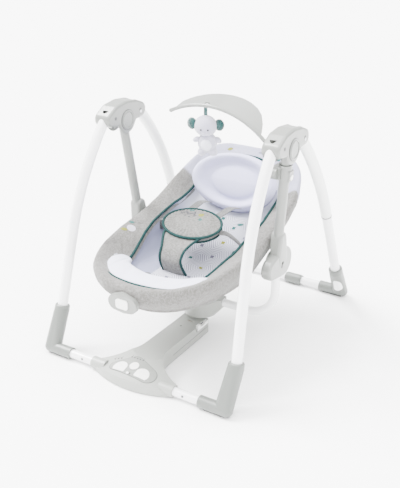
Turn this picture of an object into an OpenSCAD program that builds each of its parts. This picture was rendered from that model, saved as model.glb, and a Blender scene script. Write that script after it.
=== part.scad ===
// Portable baby swing: folding stand, pendulum arms, reclining seat with soft goods,
// toy bar with a hanging toy, and a coil and magnet drive in the base.
// Millimetres, +Z up, +X to the right and +Y to the back; the stand's feet are on Z = 0.

/* [Overall] */
// Height of the swing axis above the floor
pivot_height = 552; // [520:1:600]
// Overall depth of the stand, foot to foot
frame_depth = 731; // [700:1:800]
// Overall width of the stand, over the feet
frame_width = 556; // [540:2:620]
// Distance of the hub centres from the middle plane
hub_x = 236; // [226:1:246]
// How far the swing axis stands in front of the middle of the stand
pivot_forward = 28.5; // [15:0.5:40]

/* [Stand] */
// Diameter of the straight leg tubes
leg_tube_d = 26; // [22:0.5:28]
// Diameter of the moulded upper rear legs
rear_upper_d = 29; // [28:0.5:31]
// Diameter of the cross tubes on the floor
cross_tube_d = 22; // [18:0.5:24]
// Wall of the steel tubes
tube_wall = 1.5; // [1:0.1:2.5]
// Outer diameter of the foot sleeves round the cross tubes
foot_d = 30; // [27:1:34]
// Height of the top of the foot sleeves
foot_height = 115; // [95:1:130]
// Thickness of the rubber pads under the feet
pad_t = 3; // [2:0.5:5]

/* [Hubs] */
// Thickness of a hub housing along the swing axis
hub_t = 46; // [44:1:50]
// Wall of the hub housings
hub_wall = 2.5; // [2:0.1:3]
// Radius of the round lobe about the swing axis
lobe_r = 37; // [34:0.5:40]
// Diameter of the swing axle
axle_d = 12; // [8:0.5:14]
// Diameter of the rear legs' fold pins
fold_pin_d = 8; // [6:0.5:10]
// Radial clearance of the turning fits
fit = 0.05; // [0.02:0.01:0.1]
// Diameter of the disc caps on the hubs
cap_d = 52; // [44:1:56]

/* [Swing] */
// Diameter of the swing arms
arm_d = 25; // [21:0.5:26]
// Diameter of the white tube below the seat
u_tube_d = 22; // [18:0.5:24]
// Height of that tube's level run
u_tube_z = 83; // [80:1:95]
// Radius of that tube's bends
u_bend_r = 75; // [55:1:80]
// Width of the magnet box below the seat
magnet_box_w = 92; // [80:1:120]
// Gap between the magnet box and the base below it
drive_gap = 6; // [4:0.5:12]

/* [Seat] */
// Half width of the seat's rim
seat_half_w = 186; // [165:1:188]
// Half length of the seat's rim
seat_half_l = 308; // [280:1:312]
// Diameter of the seat's rim tube
rim_d = 14; // [10:1:16]
// Thickness of the seat's fabric bucket
shell_t = 7; // [5:0.5:10]
// Thickness of the seat pad
pad_thick = 12; // [8:1:16]

/* [Control unit] */
// Half width of the control unit
control_half_w = 115; // [105:1:125]
// Height of the control unit's top
control_h = 48; // [45:1:54]
// Width of the base spine
spine_w = 70; // [60:1:80]
// Height of the spine's rear end
spine_h = 43; // [40:1:46]
// Wall of the base mouldings
base_wall = 3; // [2:0.5:4]

/* [Hidden] */
$fn = 48;
py = -pivot_forward;
pz = pivot_height;

// Stand geometry
cross_z = foot_d / 2 + pad_t - 2;
foot_x = frame_width / 2 - foot_d / 2;
rear_cross_y = frame_depth / 2 - foot_d / 2;
front_cross_y = -(frame_depth / 2 - 37);
lean = atan((foot_x - hub_x) / (pz - cross_z));
leg_r = leg_tube_d / 2;
upper_r = rear_upper_d / 2;
sleeve_r = leg_r + 6;
tube_start = 28;
front_low = 14.5;
front_high = 39.4;
rear_low = 21;
rear_high = 46.5;
front_sole = [-front_cross_y - 26, cross_z];
rear_sole = [rear_cross_y - 23.5, cross_z];
front_end = [68 - py, pz + 10];
rear_end = [70 + py, pz + 14];
joint_lap = 20;
ring_h = 2.5;

// Hub geometry, relative to the swing axis
face_round = 6;
hub_in = hub_x - hub_t / 2;
hub_out = hub_x + hub_t / 2;
boss_t = hub_t - 2 * hub_wall - 2;
fold_pin = [57, 10];
fold_boss_r = fold_pin_d / 2 + 6;
arm_r = arm_d / 2;
arm_top = [9, -16];

// Seat geometry
heel = [36, 240];
heel_x0 = 199;
heel_x1 = 226;
heel_r = 39;
arm_foot_x = 212;
tube_y = py + 30;
box_bottom = spine_h + drive_gap + 1;
rim_r = rim_d / 2;
seat_mid_y = py - 5;

// Straight run and arc radius of a leg that leaves its foot at angle a0 and meets its hub end at a1
function leg_bend(f, e, a0, a1) =
    let (du = f[0] - e[0], dz = e[1] - f[1], d = cos(a1 - a0) - 1)
    [(du * (sin(a1) - sin(a0)) - dz * (cos(a0) - cos(a1))) / d, (sin(a0) * dz - cos(a0) * du) / d];
front_bend = leg_bend(front_sole, front_end, front_low, front_high);
rear_bend = leg_bend(rear_sole, rear_end, rear_low, rear_high);
rear_joint = rear_bend[0] - 5;

// Mirrors the right side's shape to the left when s is -1
module side(s) {
    mirror([s < 0 ? 1 : 0, 0, 0]) children();
}

// Puts a shape drawn for a rear leg at the front when s is -1
module fore(s) {
    mirror([0, s < 0 ? 1 : 0, 0]) children();
}

// Leans a shape outwards about the hub, as the legs do
module leaned() {
    translate([hub_x, 0, pz]) rotate([0, -lean, 0]) translate([0, 0, -pz]) children();
}

// A round bar along a leg's centre line, from a distance up its straight run
module leg_bar(foot, bend, a0, a1, r, start, past = 0, bore = 0) {
    top = [foot[0] - bend[0] * sin(a0), foot[1] + bend[0] * cos(a0)];
    if (start < bend[0]) translate([0, foot[0], foot[1]]) rotate([a0, 0, 0]) translate([0, 0, start])
        linear_extrude(bend[0] - start - (bore > 0 ? 0.04 : 0)) ring(r, bore);
    translate([0, top[0] - bend[1] * cos(a0), top[1] - bend[1] * sin(a0)])
        rotate([90, 0, 90]) rotate([0, 0, a0])
            rotate_extrude(angle = a1 - a0 + past) translate([bend[1], 0]) ring(r, bore);
}

// A tube's cross-section, or a rod's where the bore is 0
module ring(r, bore) {
    difference() {
        circle(r = r);
        if (bore > 0) circle(r = bore);
    }
}

module front_leg_bar(r, start, past = 0, bore = 0) {
    leaned() fore(-1) leg_bar(front_sole, front_bend, front_low, front_high, r, start, past, bore);
}

module rear_leg_bar(r, start, past = 0) {
    leaned() leg_bar(rear_sole, rear_bend, rear_low, rear_high, r, start, past);
}

// A place on a leaned leg, up its straight run
module on_leg(foot, a0, up) {
    leaned() translate([0, foot[0], foot[1]]) rotate([a0, 0, 0]) translate([0, 0, up]) children();
}

// A disc across the swing axis with rounded rims, placed relative to the axis
module rim_disc(y, z, r, t, e) {
    translate([hub_x, py + y, pz + z]) rotate([0, 90, 0]) {
        cylinder(r = r, h = t - 2 * e, center = true, $fn = 40);
        cylinder(r = r - 0.3 * e, h = t - 0.6 * e, center = true, $fn = 40);
        cylinder(r = r - e, h = t, center = true, $fn = 40);
    }
}

// ---- Feet ----

module foot(foot_pt, cross_y, a0) {
    difference() {
        union() {
            hull() {
                on_leg(foot_pt, a0, (foot_height - cross_z) / cos(a0) - 16) {
                    cylinder(r = sleeve_r, h = 14);
                    cylinder(r = sleeve_r - 2, h = 16);
                }
                translate([foot_x, cross_y, cross_z]) sphere(r = foot_d / 2, $fn = 32);
                translate([foot_x - 16, cross_y, cross_z]) sphere(r = foot_d / 2, $fn = 32);
            }
            translate([foot_x - 72, cross_y, cross_z]) rotate([0, 90, 0])
                cylinder(r = foot_d / 2, h = 72);
        }
        on_leg(foot_pt, a0, tube_start - 1) cylinder(r = leg_r + fit, h = 200);
        translate([foot_x - 80, cross_y, cross_z]) rotate([0, 90, 0])
            cylinder(r = cross_tube_d / 2 + fit, h = 50);
        translate([foot_x - 100, cross_y - 60, -20]) cube([200, 120, 20 + cross_z - foot_d / 2 + 2]);
    }
}

module front_foot(s) {
    color("darkgray") side(s) fore(-1) foot(front_sole, -front_cross_y, front_low);
}

module rear_foot(s) {
    color("darkgray") side(s) foot(rear_sole, rear_cross_y, rear_low);
}

module foot_pad(cross_y) {
    translate([foot_x - 60, cross_y - 7, 0]) cube([58, 14, cross_z - foot_d / 2 + 2]);
}

module foot_pads_front() {
    color("dimgray") for (s = [1, -1]) side(s) foot_pad(front_cross_y);
}

module foot_pads_rear() {
    color("dimgray") for (s = [1, -1]) side(s) foot_pad(rear_cross_y);
}

// ---- Legs ----

module front_leg(s) {
    bore = leg_r - tube_wall;
    color("white") side(s) {
        front_leg_bar(leg_r, tube_start, 0, bore);
        leaned() fore(-1) translate([0, front_sole[0], front_sole[1]]) rotate([front_low, 0, 0])
            translate([0, 0, front_bend[0] - 12]) linear_extrude(20) ring(bore + 0.4, bore - 1);
    }
}

module rear_leg_lower(s) {
    color("white") side(s) on_leg(rear_sole, rear_low, tube_start) difference() {
        cylinder(r = leg_r, h = rear_joint + joint_lap - tube_start);
        translate([0, 0, -1]) cylinder(r = leg_r - tube_wall, h = rear_joint + joint_lap);
    }
}

module rear_leg_upper(s) {
    color("white") side(s) difference() {
        union() {
            rear_leg_bar(upper_r, rear_joint + 10);
            on_leg(rear_sole, rear_low, rear_joint) cylinder(r = upper_r - 1, h = 11);
            translate([hub_x, py + fold_pin[0], pz + fold_pin[1]]) rotate([0, 90, 0])
                cylinder(r = fold_boss_r, h = boss_t, center = true);
        }
        difference() {
            rear_leg_bar(upper_r - 2.4, rear_joint + 10, -2);
            translate([hub_x, py + fold_pin[0], pz + fold_pin[1]]) rotate([0, 90, 0])
                cylinder(r = fold_boss_r + 4, h = hub_t, center = true);
        }
        on_leg(rear_sole, rear_low, rear_joint - 1) cylinder(r = leg_r + fit, h = joint_lap + 2);
        translate([hub_x, py + fold_pin[0], pz + fold_pin[1]]) rotate([0, 90, 0])
            cylinder(r = fold_pin_d / 2 + fit, h = hub_t + 10, center = true);
    }
}

module leg_rings() {
    color("dimgray") for (s = [1, -1]) side(s)
        on_leg(rear_sole, rear_low, rear_joint - ring_h) difference() {
            cylinder(r = upper_r - 0.3, h = ring_h);
            translate([0, 0, -1]) cylinder(r = leg_r + fit, h = ring_h + 2);
        }
}

// ---- Cross tubes ----

module front_cross(s) {
    color("white") side(s) translate([control_half_w - 25, front_cross_y, cross_z]) rotate([0, 90, 0])
        difference() {
            cylinder(r = cross_tube_d / 2, h = foot_x - 30 - control_half_w + 25 - 1);
            translate([0, 0, -1]) cylinder(r = cross_tube_d / 2 - tube_wall, h = 400);
        }
}

coupler_x0 = 80;
coupler_w = 52;

module rear_cross() {
    color("white") translate([-(foot_x - 31), rear_cross_y, cross_z]) rotate([0, 90, 0])
        difference() {
            cylinder(r = cross_tube_d / 2, h = 2 * (foot_x - 31));
            translate([0, 0, -1]) cylinder(r = cross_tube_d / 2 - tube_wall, h = 600);
        }
}

module rear_coupler(s) {
    color("silver") side(s) translate([coupler_x0, rear_cross_y, cross_z]) rotate([0, 90, 0])
        difference() {
            union() {
                translate([0, 0, 4]) cylinder(r = cross_tube_d / 2 + 4.5, h = coupler_w - 8);
                cylinder(r = cross_tube_d / 2 + 3, h = coupler_w);
            }
            translate([0, 0, -1]) cylinder(r = cross_tube_d / 2 + fit, h = coupler_w + 2);
        }
}

// ---- Hubs ----

module helmet(inset, t, e) {
    hull() {
        rim_disc(62, 14, 20 - inset, t, e);
        rim_disc(34, 18, 27 - inset, t, e);
        rim_disc(0, 18, 31 - inset, t, e);
        rim_disc(-34, 18, 27 - inset, t, e);
        rim_disc(-61, 12, 19 - inset, t, e);
    }
    hull() {
        rim_disc(0, 0, lobe_r - inset, t, e);
        rim_disc(30, 14, 20 - inset, t, e);
        rim_disc(-28, 14, 20 - inset, t, e);
    }
}

module hub_cuts() {
    inner_t = hub_t - 2 * hub_wall;
    helmet(hub_wall, inner_t, 4);
    translate([hub_x - inner_t / 2, py - 64, pz - 80]) cube([inner_t, 164, 88]);
    front_leg_bar(leg_r + 0.35, 200, 2);
    rear_leg_bar(upper_r + 0.6, rear_joint + 60, 4);
    translate([hub_x, py + fold_pin[0], pz + fold_pin[1]]) rotate([0, 90, 0])
        cylinder(r = fold_pin_d / 2 + fit, h = 200, center = true);
    translate([hub_x, py, pz]) rotate([0, 90, 0]) cylinder(r = axle_d / 2 + fit, h = 200, center = true);
}

module hub_half(x0, x1) {
    difference() {
        intersection() {
            helmet(0, hub_t, face_round);
            translate([x0, py - 150, pz - 100]) cube([x1 - x0, 300, 200]);
        }
        hub_cuts();
    }
}

module hub_outer(s) {
    color("silver") side(s) hub_half(hub_x, hub_out + 1);
}

module hub_inner(s) {
    color("silver") side(s) hub_half(hub_in - 1, hub_x);
}

module hub_caps() {
    color("darkgray") for (s = [1, -1]) side(s) {
        translate([hub_out, py, pz]) rotate([0, 90, 0]) cylinder(r = cap_d / 2, h = 1.8);
        translate([hub_in - 1.8, py, pz]) rotate([0, 90, 0]) cylinder(r = cap_d / 2, h = 1.8);
    }
}

module axle(s) {
    color("gray") side(s) translate([hub_in, py, pz]) rotate([0, 90, 0])
        cylinder(r = axle_d / 2, h = hub_t);
}

module fold_pin(s) {
    color("gray") side(s) translate([hub_in - 0.8, py + fold_pin[0], pz + fold_pin[1]]) rotate([0, 90, 0])
        cylinder(r = fold_pin_d / 2, h = hub_t + 1.6);
}

// ---- Control unit and spine ----

front_y = -frame_depth / 2;
bow_r = 242;
flank_r = 80;
flank_y = py - 197;
spine_end_y = py - 5;
seam_z = 20;
panel_y = py - 262;
panel_tilt = 12;
barrel_r = 280;
base_low = 1.5;

// Outline of the control unit and the spine, seen from above
module base_plan(g) {
    intersection() {
        translate([-control_half_w + g, front_y + g])
            square([2 * (control_half_w - g), flank_y - front_y - 2 * g]);
        translate([0, front_y + bow_r]) circle(r = bow_r - g, $fn = 96);
        difference() {
            translate([-200, front_y]) square([400, 300]);
            for (s = [1, -1]) translate([s * (spine_w / 2 + flank_r), flank_y])
                circle(r = flank_r + g, $fn = 96);
        }
    }
    translate([-spine_w / 2 + g, flank_y - 60]) square([spine_w - 2 * g, spine_end_y - flank_y + 60 - g]);
}

// Places a shape on the control unit's sloping top; local Z is 0 on its crest
module on_panel() {
    translate([0, panel_y, control_h - 3]) rotate([panel_tilt, 0, 0]) children();
}

module barrel(g) {
    on_panel() translate([0, 150, -barrel_r]) rotate([90, 0, 0])
        cylinder(r = barrel_r - g, h = 400, $fn = 120);
}

// Everything under the sloping top, inset by g
module base_solid(g, z0) {
    intersection() {
        translate([0, 0, z0]) linear_extrude(spine_h + 3 - g - z0) base_plan(g);
        union() {
            barrel(g);
            translate([-spine_w / 2, flank_y - 20, 0]) cube([spine_w, spine_end_y - flank_y + 20, 100]);
        }
        rotate([0, 90, 0]) translate([-spine_h + g, 0, -200]) linear_extrude(400)
            polygon([[spine_h, -400], [spine_h, 100], [0, 100], [0, py - 60], [-3, flank_y], [-3, -400]]);
    }
}

module button_holes(gap) {
    on_panel() translate([0, 0, -30]) linear_extrude(60) {
        translate(round_at) circle(r = round_r + gap);
        for (s = [1, -1]) translate([round_at[0], 0]) mirror([s < 0 ? 1 : 0, 0]) wing(gap);
        translate(switch_at) square([switch_w + 4 + 2 * gap, switch_w + 2 * gap], center = true);
    }
}

round_at = [-1, -30];
round_r = 12;
switch_at = [-1, -57];
switch_w = 6;

// A three-cornered button beside the round one, with hollowed inner side
module wing(gap) {
    intersection() {
        translate([32, -46]) circle(r = 19 + gap);
        translate([33 - gap - 18, -57 - gap]) square([40 + 2 * gap, 60 + 2 * gap]);
        difference() {
            translate([0, -80]) square([80, 100]);
            translate([0, round_at[1]]) circle(r = round_r + 5.5 - gap);
        }
    }
}

module panel_outline(g) {
    hull() {
        translate([-50, -44]) circle(r = 14 - g, $fn = 32);
        translate([43, -40]) circle(r = 23 - g, $fn = 32);
        translate([-8, -18]) circle(r = 20 - g, $fn = 32);
    }
}

// The collars round the front cross tubes where they enter the control unit
module tube_collars() {
    for (s = [1, -1]) side(s) translate([control_half_w - 34, front_cross_y, cross_z]) rotate([0, 90, 0])
        cylinder(r = cross_tube_d / 2 + collar_wall, h = 40);
}

collar_wall = 4;

module control_top() {
    color("silver") difference() {
        union() {
            difference() {
                base_solid(0, seam_z);
                base_solid(base_wall, seam_z - 5);
            }
            intersection() {
                tube_collars();
                translate([-200, -500, seam_z]) cube([400, 500, 40]);
            }
        }
        for (s = [1, -1]) side(s) translate([control_half_w - 26, front_cross_y, cross_z])
            rotate([0, 90, 0]) cylinder(r = cross_tube_d / 2 + fit, h = 60);
        button_holes(0.6);
        translate([-8, py - 44, spine_h - 10]) cube([16, 5, 20]);
        translate([spine_w / 2 - 6, py - 66, spine_h - 12]) cube([8, 58, 13]);
    }
}

module control_base() {
    color("silver") difference() {
        union() {
            difference() {
                intersection() {
                    base_solid(0, base_low);
                    translate([-300, -500, 0]) cube([600, 800, seam_z]);
                }
                intersection() {
                    base_solid(base_wall, base_low + base_wall);
                    translate([-300, -500, 0]) cube([600, 800, seam_z + 1]);
                }
            }
            intersection() {
                tube_collars();
                translate([-200, -500, base_low]) cube([400, 500, seam_z - base_low]);
            }
        }
        for (s = [1, -1]) side(s) translate([control_half_w - 26, front_cross_y, cross_z])
            rotate([0, 90, 0]) cylinder(r = cross_tube_d / 2 + fit, h = 60);
        translate([-door_w / 2 - 0.5, door_y - 0.5, 0]) cube([door_w + 1, door_l + 1, 12]);
    }
}

door_w = 52;
door_l = 110;
door_y = py - 185;

module battery_door() {
    color("silver") translate([-door_w / 2, door_y, base_low]) cube([door_w, door_l, base_wall]);
}

module batteries() {
    color("dimgray") for (x = [-13, 13]) translate([x, door_y + 8, base_low + base_wall + 12.52])
        rotate([-90, 0, 0]) cylinder(r = 12.5, h = 92);
}

module drive_coil() {
    color("sienna") translate([0, py - 28, spine_h - base_wall - 13]) difference() {
        cylinder(r = 17, h = 13);
        translate([0, 0, -1]) cylinder(r = 6, h = 15);
    }
}

module control_panel() {
    color("gainsboro") difference() {
        intersection() {
            on_panel() translate([0, 0, -30]) linear_extrude(60) panel_outline(0);
            difference() {
                barrel(-0.9);
                barrel(0);
            }
        }
        button_holes(0.6);
    }
}

module panel_button(rise) {
    intersection() {
        difference() {
            barrel(-rise);
            barrel(7);
        }
        children();
    }
}

module power_button() {
    color("whitesmoke") panel_button(2) on_panel() translate([0, 0, -30]) linear_extrude(60)
        translate(round_at) circle(r = round_r);
}

module speed_button() {
    color("whitesmoke") panel_button(2) on_panel() translate([0, 0, -30]) linear_extrude(60)
        translate([round_at[0], 0]) wing(0);
}

module timer_button() {
    color("whitesmoke") panel_button(2) on_panel() translate([0, 0, -30]) linear_extrude(60)
        translate([round_at[0], 0]) mirror([1, 0]) wing(0);
}

module mode_switch() {
    color("whitesmoke") panel_button(2.6) on_panel() translate([0, 0, -30]) linear_extrude(60)
        translate([switch_at[0] - 1.7, switch_at[1]]) square([switch_w, switch_w - 0.4], center = true);
}

module lock_lever() {
    color("white") translate([spine_w / 2 - 5.5, py - 59, spine_h - 11.5]) {
        cube([7, 50, 5]);
        cube([7, 12, 14]);
        translate([0, 36, 0]) cube([7, 14, 9]);
    }
}

// ---- Swing arms ----

arm_head = [hub_x, py + arm_top[0], pz + arm_top[1]];
arm_foot = [arm_foot_x - 2, py + heel[0] - 2, heel[1] + 20];
arm_run = arm_foot - arm_head;

arm_len = norm(arm_run) - 12;
arm_pitch = asin(arm_run[1] / norm(arm_run));
arm_lean = atan2(-arm_run[0], -arm_run[2]);

// Places a shape at a distance down the right arm; local Z points up the arm and X outwards
module down_arm(t) {
    translate(arm_head) rotate([arm_pitch, arm_lean, 0]) translate([0, 0, -t]) children();
}

module arm_bar(r) {
    down_arm(arm_len) cylinder(r = r, h = arm_len);
}

module arm(s) {
    color("silver") side(s) difference() {
        union() {
            arm_bar(arm_r);
            translate([hub_x, py, pz]) rotate([0, 90, 0]) cylinder(r = 21, h = boss_t, center = true);
        }
        translate([hub_x, py, pz]) rotate([0, 90, 0]) cylinder(r = axle_d / 2 + fit, h = 100, center = true);
    }
}

module heel_disc(y, z, r, x0, x1, e) {
    translate([(x0 + x1) / 2, py + y, z]) rotate([0, 90, 0]) {
        cylinder(r = r, h = x1 - x0 - 2 * e, center = true, $fn = 40);
        cylinder(r = r - 0.3 * e, h = x1 - x0 - 0.6 * e, center = true, $fn = 40);
        cylinder(r = r - e, h = x1 - x0, center = true, $fn = 40);
    }
}

module heel_solid() {
    hull() {
        heel_disc(heel[0] + 18, heel[1] - 2, heel_r, heel_x0, heel_x1, 6);
        heel_disc(heel[0] - 42, heel[1] - 4, heel_r - 12, heel_x0, heel_x1, 6);
    }
    hull() {
        heel_disc(heel[0] + 4, heel[1] + 8, 28, heel_x0, heel_x1, 6);
        heel_disc(heel[0] - 4, heel[1] + 70, 16, heel_x0 - 1, heel_x1 + 4, 6);
    }
}

module heel(s) {
    color("silver") side(s) difference() {
        heel_solid();
        arm_bar(arm_r + fit);
        translate([150, py + heel[0], heel[1]]) rotate([0, 90, 0]) cylinder(r = 6 + fit, h = 100);
        translate([u_x, tube_y, 100]) cylinder(r = u_tube_d / 2 + fit, h = heel[1] - 20 - 100);
    }
}

u_x = 212;

module u_tube(s) {
    color("white") side(s) difference() {
        u_path(u_tube_d / 2);
        u_path(u_tube_d / 2 - tube_wall);
    }
}

module u_path(r) {
    translate([u_x, tube_y, u_tube_z + u_bend_r]) cylinder(r = r, h = heel[1] - 20.5 - u_tube_z - u_bend_r);
    translate([u_x - u_bend_r, tube_y, u_tube_z + u_bend_r]) rotate([90, 0, 0]) rotate([0, 0, -90])
        rotate_extrude(angle = 90) translate([u_bend_r, 0]) circle(r = r);
    translate([magnet_box_w / 2 - 12, tube_y, u_tube_z]) rotate([0, 90, 0])
        cylinder(r = r, h = u_x - u_bend_r - magnet_box_w / 2 + 12);
}

module magnet_box() {
    w = magnet_box_w / 2;
    color("silver") difference() {
        hull() {
            translate([-w, py + 5, box_bottom]) cube([2 * w, 34, 3]);
            translate([0, py + 12, box_bottom]) scale([w / 44, 1, 1]) cylinder(r = 44, h = 38, $fn = 48);
            translate([-w - 16, py + 14, u_tube_z - 12]) cube([2 * w + 32, 30, 24]);
            translate([-w + 8, py - 6, box_bottom + 50]) cube([2 * w - 16, 44, 1]);
        }
        for (s = [1, -1]) side(s) translate([w - 13, tube_y, u_tube_z]) rotate([0, 90, 0])
            cylinder(r = u_tube_d / 2 + fit, h = 60);
        translate([-22, py - 22, box_bottom + 3]) cube([44, 40, 14]);
    }
}

module magnet() {
    color("gray") translate([0, py - 2, box_bottom + 4]) cylinder(r = 15, h = 10);
}

// ---- Toy bar and its mount ----

bar_pivot = [-6, 488];
bar_axis_x = 200;
bar_r = 4.5;
bow = [29, 395];
bow_rad = 228;
bow_end = 41;
bow_tip = 117;
bar_pin_r = 4;

collar_top = 26;
collar_end = 66;
tab_r = 7;
tab_x = arm_r + 2.4;

module toybar_mount() {
    color("silver") difference() {
        union() {
            down_arm(collar_end) cylinder(r = arm_r + 4, h = collar_end - collar_top);
            down_arm(collar_end) translate([8, -10, 0]) cube([arm_r - 2.5, 20, 26]);
            translate([bar_axis_x + 8, py + bar_pivot[0] - 2, bar_pivot[1] - 13]) cube([20, 30, 30]);
            translate([bar_axis_x + 8, py + bar_pivot[0], bar_pivot[1]]) rotate([0, 90, 0])
                cylinder(r = 14, h = 14);
            translate([bar_axis_x - 8, py + bar_pivot[0], bar_pivot[1]]) rotate([0, 90, 0])
                cylinder(r = bar_pin_r, h = 20);
        }
        arm_bar(arm_r + fit);
        down_arm(collar_end - 9) translate([tab_x - 1.5, 0, 0]) rotate([0, 90, 0])
            cylinder(r = tab_r + 0.5, h = 9);
    }
}

module toybar_release() {
    color("white") down_arm(collar_end - 9) translate([tab_x, 0, 0]) rotate([0, 90, 0])
        cylinder(r = tab_r, h = 4.6);
}

toy_x = 25;
toy_y = py + bar_pivot[0];
toy_hang_z = bow[1] + bow_rad - 0.6;

// Outline of the bar's blade, seen from above
module blade_plan() {
    difference() {
        polygon([
            [-69, -1], [-54, 22], [-26, 31], [3, 38], [41, 46], [70, 51], [100, 54],
            [120, 53.5], [139, 50], [154, 42], [166, 26], [172, 10], [172, -1]
        ]);
        translate([toy_x - 6.5, -8]) square([13, 18]);
    }
}

module toy_bar() {
    color("silver") difference() {
        translate([0, py + bar_pivot[0], 0]) {
            translate([bow[0], 0, bow[1]]) rotate([90, 0, 0]) rotate([0, 0, bow_end])
                rotate_extrude(angle = bow_tip - bow_end) translate([bow_rad, 0]) circle(r = bar_r);
            translate([bow[0] + bow_rad * cos(bow_tip), 0, bow[1] + bow_rad * sin(bow_tip)])
                sphere(r = bar_r + 0.5);
            top = [bow[0] + bow_rad * cos(bow_end), bow[1] + bow_rad * sin(bow_end)];
            low = [bar_axis_x, bar_pivot[1]];
            translate([top[0], 0, top[1]]) sphere(r = bar_r + 0.5);
            translate([low[0], 0, low[1]])
                rotate([0, atan2(top[0] - low[0], top[1] - low[1]), 0])
                    cylinder(r = bar_r, h = norm(top - low));
            translate([bar_axis_x - 5.5, 0, bar_pivot[1]]) rotate([0, 90, 0]) cylinder(r = 14, h = 11);
            intersection() {
                translate([bow[0], 0, bow[1]]) rotate([-90, 0, 0]) difference() {
                    cylinder(r1 = bow_rad + 1, r2 = bow_rad + 28, h = 60, $fn = 120);
                    translate([0, 0, -1])
                        cylinder(r1 = bow_rad - 2.5, r2 = bow_rad + 25.2, h = 62, $fn = 120);
                }
                translate([0, 0, 480]) linear_extrude(200) blade_plan();
            }
        }
        translate([bar_axis_x - 20, py + bar_pivot[0], bar_pivot[1]]) rotate([0, 90, 0])
            cylinder(r = bar_pin_r + fit, h = 40);
    }
}

module toy() {
    color("lavender") translate([toy_x, toy_y, 0]) {
        translate([0, 0, 573]) sphere(r = 27);
        translate([7, 0, 533]) sphere(r = 27);
        for (s = [1, -1]) {
            translate([s * 34, 4, 578]) rotate([90, 0, 0]) cylinder(r = 13, h = 8);
            translate([9 + s * 17, -8, 511]) sphere(r = 10);
        }
        difference() {
            translate([0, 0, toy_hang_z]) rotate([0, 90, 0]) cylinder(r = bar_r + 2.5, h = 9, center = true);
            translate([0, 0, toy_hang_z]) rotate([0, 90, 0]) cylinder(r = bar_r + 1, h = 20, center = true);
        }
        translate([-4.5, -0.75, 595]) cube([9, 1.5, toy_hang_z - bar_r - 1 - 595]);
    }
}

// ---- Seat ----

// Half width of the seat's outline at a distance behind its middle, and its rim height there
function rim_pow(y) = y < 0 ? 2.6 : 4.2;
function rim_z(y) = 262 + 0.095 * (y + 310) + 0.00095 * pow(max(0, y + 25), 2);
function se(v, p) = sign(v) * pow(abs(v), 2 / p);

// The rim's centre line at an angle
function rim_at(a) =
    let (y = seat_half_l * se(sin(a), rim_pow(sin(a))), x = seat_half_w * se(cos(a), rim_pow(sin(a))))
    [x, seat_mid_y + y, rim_z(y)];

// The lower edge of the bucket at an angle
function foot_z(y) = 196 + 0.03 * (y + 310) + 0.3 * max(0, y + 35);
function foot_at(a) =
    let (y = 262 * se(sin(a), rim_pow(sin(a))) - 8, x = (160 + 12 * sin(a)) * se(cos(a), rim_pow(sin(a))))
    [x, seat_mid_y + y, foot_z(y)];

// The bucket's outer surface: u 0 at the rim, 1 at the lower edge, 2 at the middle of the base
base_mid = [0, seat_mid_y - 20, foot_z(-20) + 1];
function bucket(a, u) = u <= 1
    ? rim_at(a) * (1 - u) + foot_at(a) * u + (rim_at(a) - base_mid) * 0.07 * sin(180 * u)
    : foot_at(a) * (2 - u) + base_mid * (u - 1);

focus = [0, seat_mid_y - 20, 470];
function toward(p, t) = p + t * (focus - p) / norm(focus - p);

// A closed skin between two depths inside the bucket's outer surface
module bucket_layer(us, t0, t1, n) {
    k = len(us);
    rings = concat([for (u = us) [u, t0]], [for (i = [k - 1:-1:0]) [us[i], t1]]);
    pts = [for (r = rings) for (j = [0:n - 1]) toward(bucket(360 * j / n, r[0]), r[1])];
    m = len(rings);
    polyhedron(
        points = concat(pts, [toward(base_mid, t0), toward(base_mid, t1)]),
        faces = concat(
            [for (i = [0:m - 1]) if (i != k - 1) for (j = [0:n - 1])
                let (a = i * n + j, b = i * n + (j + 1) % n, i2 = (i + 1) % m)
                for (f = [[a, i2 * n + j, i2 * n + (j + 1) % n], [a, i2 * n + (j + 1) % n, b]]) f],
            [for (j = [0:n - 1]) [(k - 1) * n + j, m * n, (k - 1) * n + (j + 1) % n]],
            [for (j = [0:n - 1]) [k * n + (j + 1) % n, m * n + 1, k * n + j]]
        ),
        convexity = 6
    );
}

module seat_rim() {
    n = 44;
    q = 8;
    pts = [for (i = [0:n - 1]) let (a = 360 * (i + 0.5) / n, p = rim_at(a), t = rim_at(a + 1) - rim_at(a - 1),
        s = cross(t, [0, 0, 1]) / norm(cross(t, [0, 0, 1])), v = cross(s, t) / norm(t))
        for (j = [0:q - 1]) p + rim_r * (cos(360 * j / q) * s + sin(360 * j / q) * v)];
    color("gainsboro") polyhedron(points = pts, faces = [for (i = [0:n - 1]) for (j = [0:q - 1])
        let (i2 = (i + 1) % n, j2 = (j + 1) % q)
        let (a = i * q + j, b = i * q + j2, c = i2 * q + j, d = i2 * q + j2)
        for (f = [[a, b, d], [a, d, c]]) f], convexity = 6);
}

// How far down from the rim the bucket's skins begin
skin_top = 0.27;
pad_top = 0.31;

module seat_shell() {
    color("lightgray") bucket_layer([skin_top, 0.45, 0.65, 0.85, 1, 1.3, 1.6], 0, shell_t, 40);
}

module seat_pad() {
    t = shell_t + 1;
    color("white") bucket_layer([pad_top, 0.45, 0.65, 0.85, 1, 1.3, 1.6], t, t + pad_thick, 40);
}

pillow_w = 118;
pillow_h = 72;
pillow_t = 34;

module headrest() {
    color("lavender") translate([0, 139, 374]) rotate([61, 0, 0]) scale([pillow_w / pillow_h, 1, 1])
        cylinder(r = pillow_h, h = pillow_t, center = true, $fn = 96);
}

guard_w = 80;
guard_l = 57;
guard_t = 20;
stem_w = 66;
guard_y = py - 36;
guard_z = 326;

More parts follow.
